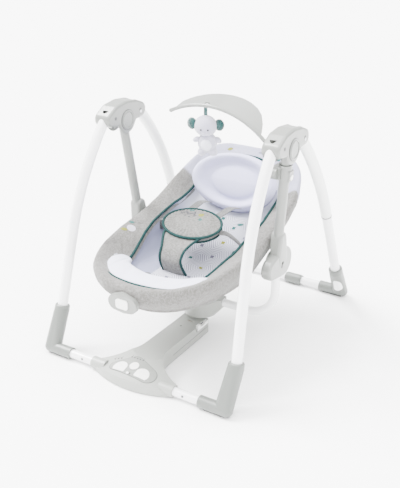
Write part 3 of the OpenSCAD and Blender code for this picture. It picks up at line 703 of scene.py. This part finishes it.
lr = lip_rows()
m, n = lr.shape[:2]
faces = []
for i in range(m):
    for j in range(n - 1):
        i2 = (i + 1) % m
        faces.append((i * n + j, i * n + j + 1, i2 * n + j + 1, i2 * n + j))
faces.append(tuple(i * n for i in range(m)))
faces.append(tuple((m - 1 - i) * n + n - 1 for i in range(m)))
lip = new_mesh("seat_lip", lr.reshape(-1, 3), faces, m_white_fab, "seat")
o = tube("lip_piping", LIP_OUT + (LIP_OUT - [0, -200, 250]) * [0.02, 0.04, 0] + [0, 0, 3.0], 3.8, m_teal,
         "seat")


# ---- Padded ovals

def frame_of(centre, tilt):
    a = math.radians(tilt)
    c = np.array(centre, float)
    e1, e2, en = np.array([1, 0, 0.0]), np.array([0, math.cos(a), math.sin(a)]), np.array([0,
            -math.sin(a), math.cos(a)])
    return lambda u, v, w: c + np.multiply.outer(u, e1) + np.multiply.outer(v, e2) + np.multiply.outer(w,
            en)


def oval(name, place, hw, hl, profile, mat, body, gather=0.0, waves=60, n=180, steps=5, warp=None):
    """profile is a list of (scale, height); height may follow the angle through warp."""
    a = np.radians(np.arange(n) * 360.0 / n)
    prof = catmull_all(np.array([[p[0], p[1]] for p in profile], float)[:, None, :], steps)[:, 0]
    rows = []
    for s, w in prof:
        g = gather * np.exp(-((s - 0.78) / 0.2) ** 2) * np.sin(a * waves
                + 2.0 * np.sin(a * 3)) if w > -4 else 0.0
        extra = warp(a, s) if warp else 0.0
        rows.append(place(hw * s * np.cos(a), hl * s * np.sin(a), w + g + extra))
    rows = np.array(rows)
    m = len(rows)
    f = grid_faces(m, n, True)
    verts = rows.reshape(-1, 3)
    verts = np.vstack([verts, rows[0].mean(0), rows[-1].mean(0)])
    f += [(m * n, (j + 1) % n, j) for j in range(n)]
    f += [(m * n + 1, (m - 1) * n + j, (m - 1) * n + (j + 1) % n) for j in range(n)]
    return new_mesh(name, verts, f, mat, body)


def catmull_all(rows, steps):
    k = len(rows) - 1
    return np.array([catmull(rows, t) for t in np.linspace(0, k, k * steps + 1)])


GP = frame_of((3, -63, 326), 16)
guard = oval("guard_pad", GP, 80, 57, [(0.02, -20), (0.5, -21), (0.85, -19), (0.985, -13), (1.0, -8),
                                       (0.97, -3),
                                        (0.9, 0.5), (0.72, 3.5), (0.4, 6), (0.02, 7)], m_plain, "seat",
                                        gather=1.5, waves=40)
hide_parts("crotch_guard")
aa = np.radians(np.arange(120) * 3.0)
o = tube("guard_piping", GP(80.5 * np.cos(aa), 57.5 * np.sin(aa), -2.5 + 0 * aa), 3.4, m_teal, "seat",
         closed=True)
o = tube("guard_piping_low", GP(78 * np.cos(aa), 56 * np.sin(aa), -17 + 0 * aa), 2.6, m_teal, "seat",
         closed=True)

STEM = smooth_path([[0, -92, 308, 54], [0, -118, 303, 45], [0, -143, 287, 33], [0, -158, 266, 30],
                    [3, -158, 246, 31],
                    [7, -149, 222, 33]], 40)


def stem_rows():
    rows = []
    for q in STEM:
        row = []
        for k in range(40):
            a = 2 * math.pi * k / 40
            ca, sa = math.cos(a), math.sin(a)
            row.append([q[0] + q[3] * abs(ca) ** 0.6 * (1 if ca > 0 else -1),
                        q[1] - 5.5 * sa * abs(sa) ** 0.1, q[2] - 1.5 * sa])
        rows.append(row)
    rows = np.array(rows)
    for i in range(rows.shape[0]):
        for k in range(rows.shape[1]):
            v = rows[i, k]
            rows[i, k, 1] += 1.6 * nz((v[0], v[1], v[2] * 0.35), 0.05,
                                      6.0) + 0.7 * nz((v[0], v[1], v[2] * 0.3), 0.13, 2.0)
    return rows


sr = stem_rows()
m, n = sr.shape[:2]
stem = new_mesh("guard_stem", sr.reshape(-1, 3), grid_faces(m, n, True) + [tuple(range(n)),
        tuple((m - 1) * n + k for k in range(n - 1, -1, -1))], m_plain, "seat")
for s in (1, -1):
    o = tube("stem_piping_" + ("r" if s > 0 else "l"),
             np.stack([STEM[:, 0] + s * (STEM[:, 3] + 1), STEM[:, 1] - 2, STEM[:, 2] + 1], -1)[1:], 3.2,
             m_teal, "seat")

# ---- Headrest

HP = frame_of((6, 150, 370), 61)


def cup(a, s):
    return 16 * (np.cos(a) ** 2) * s * s - 8 * np.clip(-np.sin(a), 0, 1) * s


pillow = oval("head_pillow", HP, 127, 78, [(0.02, -20), (0.6, -20), (0.93, -17), (1.0, -8), (0.985, 4),
                                           (0.93, 13), (0.86, 15),
                                            (0.79, 11), (0.72, 2), (0.66, -3), (0.58, -3), (0.52, 1),
                                            (0.35, 5), (0.02, 7)],
              m_pillow, "seat", warp=cup, steps=4)
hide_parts("headrest")
low = np.radians(np.linspace(180, 360, 80))
o = tube("pillow_piping", HP(128 * np.cos(low), 79 * np.sin(low), -11 + cup(low, 1)), 2.4, m_lav_pipe,
         "seat")

# ---- Belts

def ribbon(name, pts, width, thick, mat, body, side):
    """A flat webbing strap along points; side is its width direction."""
    p = smooth_path(pts, 24)
    t = np.gradient(p, axis=0)
    t /= np.linalg.norm(t, axis=1)[:, None]
    sd = np.array(side, float)
    sd = sd - t * (t @ sd)[:, None]
    sd /= np.linalg.norm(sd, axis=1)[:, None]
    nn = np.cross(sd, t)
    prof = [(-1, -0.5), (-1, 0.5), (-0.93, 1), (-0.5, 0.8), (0, 0.9), (0.5, 0.8), (0.93, 1), (1, 0.5),
            (1, -0.5), (0, -0.9)]
    rows = np.array([p + sd * (width / 2 * a) + nn * (thick / 2 * b) for a, b in prof]).transpose(1, 0, 2)
    m, n = rows.shape[:2]
    f = grid_faces(m, n, True) + [tuple(range(n)), tuple((m - 1) * n + k for k in range(n - 1, -1, -1))]
    return new_mesh(name, rows.reshape(-1, 3), f, mat, body)


for s in (1, -1):
    tag = "r" if s > 0 else "l"
    o = ribbon("waist_belt_" + tag, [[s * 80, -62, 316], [s * 96, -44, 308], [s * 112, -24, 285],
                                     [s * 124, -6, 258]], 22, 2.2,
               m_web, "seat", (-s * 0.5, 0.8, 0.1))
    o = ribbon("back_belt_" + tag, [[s * 40, -10, 328], [s * 43, 20, 330], [s * 45, 60, 331],
                                    [s * 46, 100, 318]], 22, 2.2,
               m_web, "seat", (1, 0, 0))
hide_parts("harness_belts")

# ---- Plush toy

def ball(name, c, r, mat, body, rough=0.6, seed=0.0, rot=(0, 0, 0)):
    bpy.ops.mesh.primitive_ico_sphere_add(subdivisions=4, radius=1)
    o = bpy.context.active_object
    o.name = name
    me = o.data
    R = Matrix.Rotation(rot[1], 3, "Y") @ Matrix.Rotation(rot[0], 3, "X") @ Matrix.Rotation(rot[2], 3, "Z")
    for v in me.vertices:
        q = Vector((v.co.x * r[0], v.co.y * r[1], v.co.z * r[2]))
        q *= 1 + 0.02 * noise.noise(v.co * 3 + Vector((seed, seed, 0)))
        q += v.co * rough * noise.noise(q * 0.5 + Vector((seed, 0, seed)))
        v.co = (R @ q + Vector(c)) * MM
    me.polygons.foreach_set("use_smooth", [True] * len(me.polygons))
    me.materials.clear()
    me.materials.append(mat)
    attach(o, body)
    return o


TX, TY = 25.0, PY - 6
parts = [
    ball("toy_head", (TX, TY, 574), (28, 26, 26), m_plush, "toy_body", seed=1),
    ball("toy_body_fill", (TX + 5, TY, 533), (24, 22, 25), m_plush, "toy_body", seed=2),
]
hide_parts("toy")
FX, FY = math.sin(math.radians(24)), -math.cos(math.radians(24))


def facing(x, ahead, side, z):
    return (x + FX * ahead - FY * side, TY + FY * ahead + FX * side, z)


parts.append(ball("toy_belly", facing(TX + 5, 8, 0, 532), (17, 17, 18), m_plush_white, "toy_body", seed=3))
parts.append(ball("toy_muzzle", facing(TX, 21, 0, 561), (7.5, 7.5, 6), m_plush, "toy_body", seed=4))
for s in (1, -1):
    tag = "_r" if s > 0 else "_l"
    parts.append(ball("toy_ear" + tag, facing(TX, 0, s * 33, 578 - s), (13, 8, 14.5), m_plush_teal,
                      "toy_body", seed=5 + s))
    parts.append(ball("toy_arm" + tag, facing(TX + 5, 3, s * 26, 541), (10, 8, 6.5), m_plush, "toy_body",
                      seed=7 + s, rot=(0, s * 0.5, 0)))
    parts.append(ball("toy_foot" + tag, facing(TX + 7, 8, s * 14, 512), (10, 11, 10), m_plush, "toy_body",
                      seed=9 + s))
    parts.append(ball("toy_eye" + tag, facing(TX, 25.2, s * 8.5, 570), (2.3, 2.0, 2.4), m_dark,
                      "toy_body", rough=0.0))
o = ribbon("toy_strap", [[TX, TY, 597], [TX, TY - 0.5, 610], [TX, TY, 626.8]], 10, 1.4, m_plush_teal,
           "toy_body", (1, 0, 0))

# ---------------------------------------------------------------- printed and sewn-on shapes


def tree_of(o):
    me = o.data
    mw = o.matrix_world
    return BVHTree.FromPolygons([tuple((mw @ v.co) / MM) for v in me.vertices],
                                [tuple(p.vertices) for p in me.polygons])


TREES = {}


def decal(name, shape, at, to, mat, body, on, offset=0.5, size=1.0, spin=0.0, rise=30.0):
    """Lays a flat outline on a surface: at is a point near it, to the direction the outline faces."""
    if on.name not in TREES:
        TREES[on.name] = tree_of(on)
    tree = TREES[on.name]
    n = Vector(to).normalized()
    e1 = Vector((1, 0, 0)) if abs(n.x) < 0.8 else Vector((0, 1, 0))
    e1 = (e1 - n * e1.dot(n)).normalized()
    e2 = n.cross(e1)
    ca, sa = math.cos(spin), math.sin(spin)
    verts, faces = [], []
    k = len(shape)
    rings = [0.0, 0.35, 0.7, 1.0]
    for r in rings:
        for (u, v) in (shape if r else [(0, 0)]):
            u, v = u * r * size, v * r * size
            q = Vector(at) + e1 * (u * ca - v * sa) + e2 * (u * sa + v * ca)
            hit = tree.ray_cast(q + n * rise, -n, rise * 3)
            verts.append((hit[0] if hit[0] else q) + n * offset)
    for j in range(k):
        faces.append((0, 1 + j, 1 + (j + 1) % k))
    for i in range(2):
        for j in range(k):
            a, b = 1 + i * k + j, 1 + i * k + (j + 1) % k
            faces.append((a, a + k, b + k, b))
    return new_mesh(name, verts, faces, mat, body)


def round_shape(r, n=20):
    return [(r * math.cos(2 * math.pi * k / n), r * math.sin(2 * math.pi * k / n)) for k in range(n)]


def leaf_shape(l, w, n=24):
    out = []
    for k in range(n):
        a = 2 * math.pi * k / n
        out.append((l * math.cos(a), w * math.sin(a) * (1 - 0.45 * abs(math.cos(a)) ** 3)))
    return out


def lobed_shape(r, lobes, depth, n=40):
    out = []
    for k in range(n):
        a = 2 * math.pi * k / n
        q = r * (1 - depth + depth * abs(math.cos(a * lobes / 2)))
        out.append((q * math.cos(a), q * math.sin(a)))
    return out


DOT, LEAF, CLOVER = round_shape(1), leaf_shape(1, 0.55), lobed_shape(1, 3, 0.35)
prints = [
    ("applique_disc", DOT, (-172, -99, 262), (0.4, 0, 1), m_lilac, cover, 12, 0),
    ("applique_leaf_a", LEAF, (-172, -118, 287), (0.4, 0, 1), m_lime, cover, 10, 0.7),
    ("applique_leaf_b", LEAF, (-176, -80, 291), (0.4, 0, 1), m_teal_print, cover, 8, 0.7),
    ("band_leaf_a", LEAF, (-154, 204, 340), (0.5, -0.4, 0.8), m_lime, cover, 8, 1.2),
    ("band_leaf_b", LEAF, (-150, 240, 391), (0.3, -0.5, 0.8), m_leaf_grey, cover, 8, 0.2),
    ("band_leaf_c", LEAF, (-70, 262, 410), (0, -0.5, 0.8), m_lime, cover, 9, 0.3),
    ("band_leaf_d", LEAF, (26, 262, 418), (0, -0.5, 0.8), m_leaf_grey, cover, 7, 0),
    ("band_leaf_e", CLOVER, (84, 262, 413), (0, -0.5, 0.8), m_teal_print, cover, 12, 0.4),
    ("pad_leaf_a", LEAF, (18, 143, 285), (0, -0.6, 0.8), m_lime, pad, 10, 0.2),
    ("pad_leaf_b", LEAF, (61, 89, 269), (0, -0.4, 0.9), m_teal_print, pad, 10, 0.3),
    ("pad_leaf_c", LEAF, (-74, -196, 224), (0, 0, 1), m_teal_print, pad, 9, 0.4),
    ("pad_leaf_d", LEAF, (-48, -188, 224), (0, 0, 1), m_motif, pad, 8, 0.2),
    ("motif_leaf", LEAF, (-22, -24, 342), (0, -0.28, 0.96), m_teal_print, guard, 9, 0.1),
    ("motif_dot_a", DOT, (14, -36, 338), (0, -0.28, 0.96), m_lime, guard, 7.5, 0),
    ("motif_dot_b", DOT, (22, -54, 333), (0, -0.28, 0.96), m_teal_print, guard, 5, 0),
]
for k, (du, dv, s) in enumerate([(-47, -32, 8), (-40, -44, 6), (-31, -38, 9), (-19, -42, 8), (-8, -37, 9),
                                 (0, -46, 6), (-26, -52, 5), (-12, -54, 4.5)]):
    prints.append(("motif_stitch_%d" % k, CLOVER, (du, dv, 335 + (dv + 63) * 0.28), (0, -0.28, 0.96),
                   m_motif, guard, s * 0.85, k * 0.9))
for name, shape, at, to, mat, on, size, spin in prints:
    o = decal(name, shape, at, to, mat, "seat", on, size=size, spin=spin)

# Seams of the cover
for name, pts in (("cover_seam_front", [(63, -300, 270), (62, -340, 262), (61, -345, 245),
                                        (60, -335, 225), (60, -318, 205)]),
                  ("cover_seam_back_l", [(-196, 170, 322), (-185, 171, 340), (-165, 172, 340),
                                         (-140, 172, 334)]),
                  ("cover_seam_back_r", [(140, 172, 334), (165, 172, 340), (185, 171, 340),
                                         (196, 170, 322)])):
    path = smooth_path(pts, 30)
    tree = tree_of(cover)
    snapped = []
    for q in path:
        hit = tree.find_nearest(Vector(q))
        snapped.append(np.array(hit[0]) + 0.2 * np.array(hit[1]))
    o = tube(name, snapped, 0.9, m_plain, "seat", sides=6)

# ---------------------------------------------------------------- small hardware details

def bead(name, centre, axis, r, h, mat, body, n=20, dome=0.3):
    """A short round button along an axis, with a rounded rim."""
    z = Vector(axis).normalized()
    x = z.orthogonal().normalized()
    y = z.cross(x)
    c = Vector(centre)
    v, f = [], []
    prof = [(1.0, 0.0), (1.0, 1 - dome), (0.92, 0.93), (0.75, 1.0), (0.02, 1.0 + dome * 0.3)]
    for s, w in prof:
        for k in range(n):
            a = 2 * math.pi * k / n
            v.append(c + x * (r * s * math.cos(a)) + y * (r * s * math.sin(a)) + z * (h * w))
    for i in range(len(prof) - 1):
        for k in range(n):
            j = (k + 1) % n
            f.append((i * n + k, i * n + j, (i + 1) * n + j, (i + 1) * n + k))
    f.append(tuple(range((len(prof) - 1) * n, len(prof) * n)))
    f.append(tuple(range(n - 1, -1, -1)))
    return new_mesh(name, v, f, mat, body)


def on_panel(x, y, up=0.0):
    a = math.radians(12)
    z = -280 + math.sqrt(280 ** 2 - x * x) + up
    return (x, PY - 262 + y * math.cos(a) - z * math.sin(a), 45 + y * math.sin(a) + z * math.cos(a))


for k, (x, y) in enumerate([(-66, -21.5), (-58, -18),
                            (-50, -15)] + [(-26 + 8.4 * i, -3.0) for i in range(5)]):
    bead("led_%d" % k, on_panel(x, y - 1.5, 0.6), (0, -0.2, 0.98), 2.0, 0.8, m_print_and_recess_shade,
                         "stand", 14)
    bead("led_mark_%d" % k, on_panel(x, y + 4, 0.2 if k > 2 else 0.1), (0, -0.2, 0.98),
                         0.9, 0.5, m_print_and_recess_shade, "stand", 8)


def panel_hull(g):
    """The panel's outline in its own plane."""
    pts = []
    for cx_, cy_, r in ((-50, -44, 14 - g), (43, -40, 23 - g), (-8, -18, 20 - g)):
        for k in range(48):
            a = 2 * math.pi * k / 48
            pts.append((cx_ + r * math.cos(a), cy_ + r * math.sin(a)))
    pts = sorted(set(pts))

    def half(seq):
        out = []
        for q in seq:
            while len(out) > 1 and (out[-1][0] - out[-2][0]) * (q[1] - out[-2][1]) - (out[-1][1]
                    - out[-2][1]) * (q[0] - out[-2][0]) <= 0:
                out.pop()
            out.append(q)
        return out[:-1]
    return half(pts) + half(pts[::-1])


ph = panel_hull(-0.6)
edge = []
for a, b in zip(ph, ph[1:] + ph[:1]):
    steps = max(1, int(math.hypot(a[0] - b[0], a[1] - b[1]) / 4))
    for s in range(steps):
        edge.append(on_panel(a[0] + (b[0] - a[0]) * s / steps, a[1] + (b[1] - a[1]) * s / steps, 0.25))
tube("panel_groove", edge, 0.55, m_print_and_recess_shade, "stand", closed=True, sides=6)
for s in (1, -1):
    tag = "_r" if s > 0 else "_l"
    hx, hz = 236 * s, 552
    for side, x in (("o", 259 * s), ("i", 213 * s)):
        out = s if side == "o" else -s
        # The hub screws are flat dark discs: painted shade inside the screw recesses
        for k, (dy, dz, r) in enumerate(((56, 15, 4.4), (-50, 14, 4.4), (-63, -6, 3.2))):
            bead("hub_screw_%s%d%s" % (side, k, tag), (x, PY + dy, hz + dz), (out, 0, 0),
                                 r, 0.6, m_print_and_recess_shade, "stand", 18)
        a = np.radians(np.arange(96) * 3.75)
        loop = np.stack([np.full(96, x + out * 0.3), PY + 26.6 * np.cos(a), hz + 26.6 * np.sin(a)], -1)
        tube("hub_groove_%s%s" % (side, tag), loop, 0.7, m_print_and_recess_shade, "stand", closed=True,
                             sides=6, up=(1, 0, 0))
        loop = np.stack([np.full(96, x + out * 1.9), PY + 21 * np.cos(a), hz + 21 * np.sin(a)], -1)
        tube("hub_ring_%s%s" % (side, tag), loop, 1.6, m_shell, "stand", closed=True,
                             sides=8, up=(1, 0, 0))
    # Dark dot on each front cross tube: painted shade of the spring-button slit
    bead("spring_dot" + tag, (s * 150, PY - 300 - 11.2, 19), (0, -1, 0.25), 3.2, 0.8,
                         m_print_and_recess_shade, "stand", 14)
    # Dark disc for each heel screw: painted shade of its recess
    bead("heel_screw" + tag, (s * 226.0, PY + 34, 232), (s, 0, 0), 5.0, 0.6, m_print_and_recess_shade,
                         "swing", 18)
# Dark disc for the spine screw: painted shade of its recess
bead("spine_screw", (-6, -106, 42.8), (0, 0, 1), 3.0, 0.7, m_print_and_recess_shade, "stand", 14)
bead("lock_dot", (236, PY + 14, 474), (1, 0, 0.1), 5.5, 3.0, m_red, "swing", 18)
tube("spine_groove", smooth_path([(35.2, -205, 20), (35.2, -120, 20), (35.2, -36, 20)],
        12), 0.5, m_print_and_recess_shade, "stand", sides=6)
tube("spine_groove_l", smooth_path([(-35.2, -205, 20), (-35.2, -120, 20),
        (-35.2, -36, 20)], 12), 0.5, m_print_and_recess_shade, "stand", sides=6)

# ---------------------------------------------------------------- CAD materials

CAD_MATS = {
    m_paint: ["front_leg_r", "front_leg_l", "front_cross_r", "front_cross_l", "rear_leg_lower_r",
              "rear_leg_lower_l", "rear_cross", "u_tube_r", "u_tube_l"],
    m_moulded: ["rear_leg_upper_r", "rear_leg_upper_l"],
    m_button: ["lock_lever", "toybar_release", "power_button", "timer_button", "speed_button",
               "mode_switch",
               "vibration_button"],
    m_foot: ["front_foot_r", "front_foot_l", "rear_foot_r", "rear_foot_l", "rear_coupler_r",
             "rear_coupler_l"],
    m_shell: ["hub_outer_r", "hub_outer_l", "hub_inner_r", "hub_inner_l", "arm_r", "arm_l", "heel_r",
              "heel_l",
              "toybar_mount", "vibration_unit", "recline_disc_r", "recline_disc_l", "toy_bar"],
    m_base: ["control_top", "control_base", "battery_door", "magnet_box"],
    m_disc: ["hub_caps"],
    m_panel: ["control_panel"],
    m_dark: ["leg_rings"],
    m_rubber: ["foot_pads_front", "foot_pads_rear"],
    m_steel: ["axle_r", "axle_l", "fold_pin_r", "fold_pin_l", "magnet"],
    m_copper: ["drive_coil"],
    m_cell: ["batteries"],
    m_pillow: ["headrest"],
    m_plain: ["crotch_guard"],
    m_web: ["harness_belts"],
    m_plush: ["toy"],
    m_cover: ["seat_shell", "seat_rim"],
    m_pad: ["seat_pad"],
}
for mat, names in CAD_MATS.items():
    for n in names:
        me = nodes[n].data
        me.materials.clear()
        me.materials.append(mat)

# ---------------------------------------------------------------- floor

bpy.ops.mesh.primitive_plane_add(size=14, location=(0, 0, -0.0006))
floor = bpy.context.active_object
floor.name = "floor"
fm = Mat("floor_paint", (0.97, 0.97, 0.97), rough=0.9, spec=0.1)
fm.mix(fm.noise(3, 2) * 0.02, (0.93, 0.93, 0.93))
floor.data.materials.append(fm.done())
